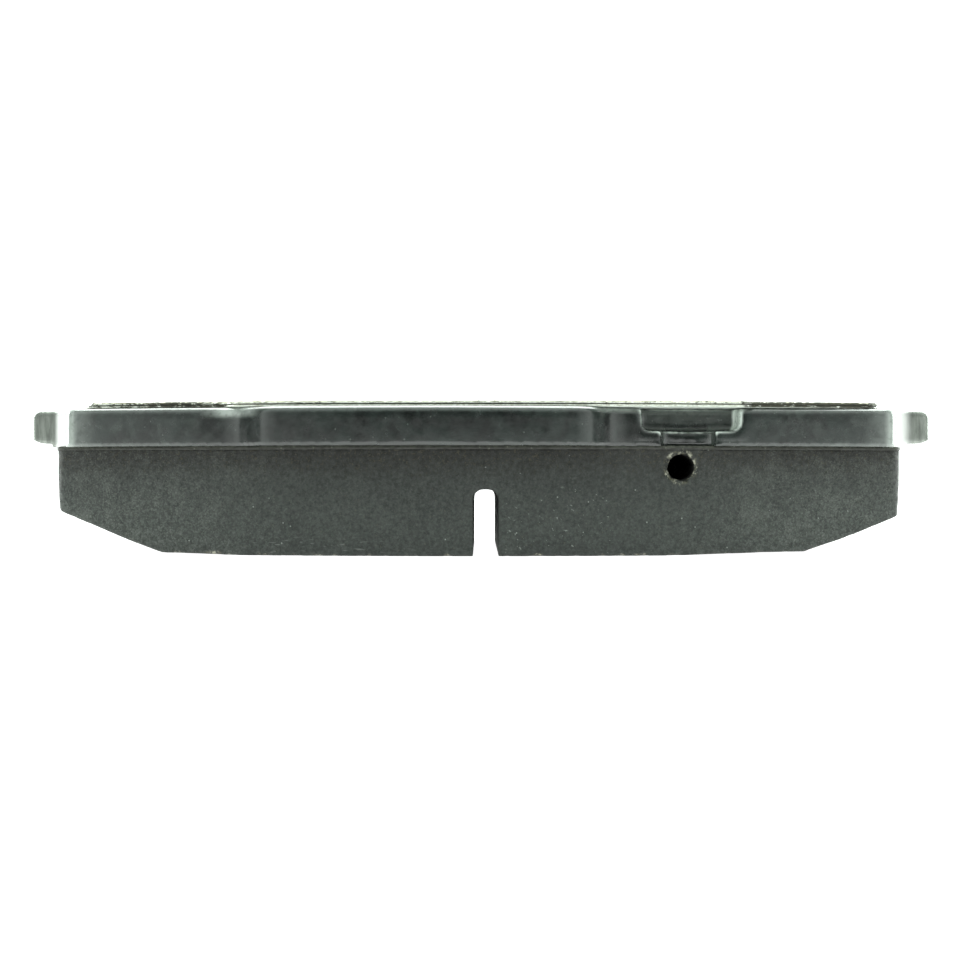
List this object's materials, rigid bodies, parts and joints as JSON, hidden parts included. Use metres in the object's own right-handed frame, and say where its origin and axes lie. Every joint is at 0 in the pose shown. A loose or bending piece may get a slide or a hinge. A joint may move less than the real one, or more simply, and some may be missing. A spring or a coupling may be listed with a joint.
{
  "type": "disc brake pad",
  "caption": "Disc brake pad with a chamfered, grooved friction block on a painted steel backing plate with end ears, a sensor notch and hole, and a laminated damping shim.",
  "frame": {"origin": "centre of the pad's box, on the rubbing face", "axes": "+X along the pad's length, -Y towards the disc's rim (the pad's convex outer edge), +Z from the rubbing face to the shim"},
  "size_m": [0.1196, 0.0564, 0.0197],
  "materials": {
    "plate_paint": "gloss",
    "adhesive": "satin",
    "underlayer_compound": "matte",
    "friction_compound": "matte",
    "shim_glue": "satin",
    "shim_steel": "satin",
    "shim_rubber": "matte",
    "shim_coat": "satin"
  },
  "bodies": {
    "root": {"backing_plate": "plate_paint", "bond_adhesive": "adhesive", "underlayer": "underlayer_compound", "friction_block": "friction_compound", "shim_adhesive": "shim_glue", "shim_inner_steel": "shim_steel", "shim_damping_core": "shim_rubber", "shim_outer_steel": "shim_steel", "shim_rubber_coat": "shim_coat"}
  },
  "joints": []
}
